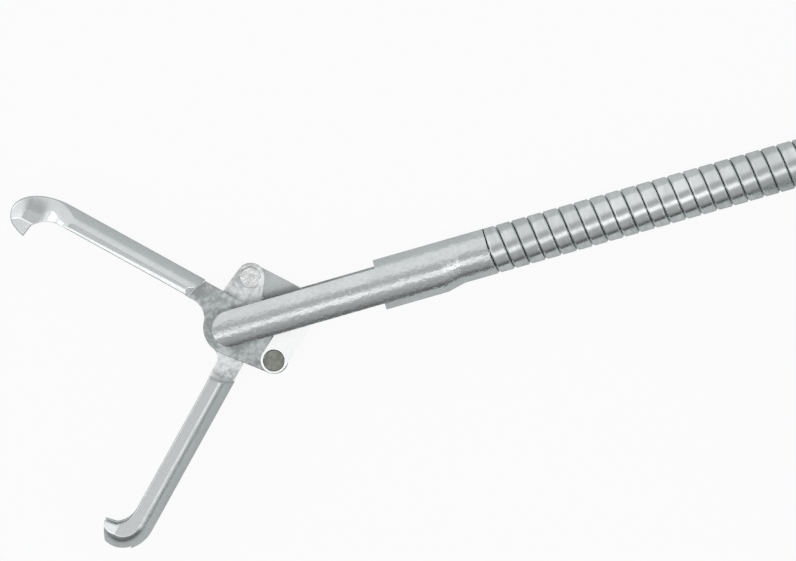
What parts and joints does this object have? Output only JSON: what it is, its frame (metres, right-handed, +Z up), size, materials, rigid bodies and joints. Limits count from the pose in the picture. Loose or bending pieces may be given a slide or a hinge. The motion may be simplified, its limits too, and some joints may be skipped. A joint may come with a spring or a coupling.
{
  "type": "flexible grasping forceps",
  "caption": "Flexible grasping forceps with hooked rat-tooth jaws on a pin-and-link head, a coil sheath, and a thumb-ring handle with a sliding finger spool.",
  "frame": {"origin": "centre of the thumb ring's bore, on the handle's axis", "axes": "+X from the jaws to the handle, the jaws open in the XY plane, +Z up from the table that the instrument lies on"},
  "size_m": [0.2092, 0.0415, 0.012],
  "materials": {
    "satin_steel": "stainless steel, fine satin",
    "bright_steel": "stainless steel, polished",
    "pin_steel": "stainless steel, ground",
    "sheath_steel": "stainless flat wire, drawn",
    "stem_plastic": "moulded ABS, fine satin",
    "spool_plastic": "moulded ABS, fine satin",
    "nut_aluminium": "anodised, clear",
    "relief_rubber": "soft moulded elastomer"
  },
  "bodies": {
    "root": {"fork": "satin_steel", "pivot_pin": "satin_steel", "sheath_run": "sheath_steel", "sheath_coil": "sheath_steel", "sheath_lead": "sheath_steel", "handle_stem": "stem_plastic", "nose_nut": "nut_aluminium", "sheath_ferrule": "pin_steel", "strain_relief": "relief_rubber"},
    "spool": {"spool_upper": "spool_plastic", "spool_lower": "spool_plastic", "spool_screws": "pin_steel", "cross_pin": "pin_steel", "wire_crimp": "pin_steel", "stiffener_tube": "pin_steel"},
    "yoke": {"yoke": "bright_steel", "drive_wire": "pin_steel"},
    "jaw_upper": {"jaw_upper": "satin_steel", "link_pin_lower": "pin_steel"},
    "jaw_lower": {"jaw_lower": "satin_steel", "link_pin_upper": "pin_steel"},
    "link_lower": {"link_lower": "bright_steel"},
    "link_upper": {"link_upper": "bright_steel", "drive_pin": "pin_steel"}
  },
  "joints": [
    {"name": "spool_slide", "type": "slide", "parent": "root", "child": "spool", "axis": [1, 0, 0], "range_m": [0, 0.00179]},
    {"name": "yoke_slide", "type": "slide", "parent": "root", "child": "yoke", "axis": [1, 0, 0], "range_m": [0, 0.00179]},
    {"name": "jaw_upper_hinge", "type": "hinge", "parent": "root", "child": "jaw_upper", "pos_m": [-0.18437, 0.0039, -0.00475], "axis": [0, 0, 1], "range_deg": [0, 44.51]},
    {"name": "jaw_lower_hinge", "type": "hinge", "parent": "root", "child": "jaw_lower", "pos_m": [-0.18437, 0.0039, -0.00475], "axis": [0, 0, 1], "range_deg": [-44.51, 0]},
    {"name": "link_lower_hinge", "type": "hinge", "parent": "jaw_upper", "child": "link_lower", "pos_m": [-0.18278, 0.00182, -0.00475], "axis": [0, 0, 1], "range_deg": [-80.29, 0]},
    {"name": "link_upper_hinge", "type": "hinge", "parent": "jaw_lower", "child": "link_upper", "pos_m": [-0.18278, 0.00598, -0.00475], "axis": [0, 0, 1], "range_deg": [0, 80.29]}
  ],
  "couplings": [
    {"joint": "yoke_slide", "follows": "spool_slide", "ratio": 1},
    {"joint": "jaw_upper_hinge", "follows": "spool_slide", "rad_per_m": 433.04},
    {"joint": "jaw_lower_hinge", "follows": "spool_slide", "rad_per_m": -433.04},
    {"joint": "link_lower_hinge", "follows": "spool_slide", "rad_per_m": -781.21},
    {"joint": "link_upper_hinge", "follows": "spool_slide", "rad_per_m": 781.21}
  ]
}
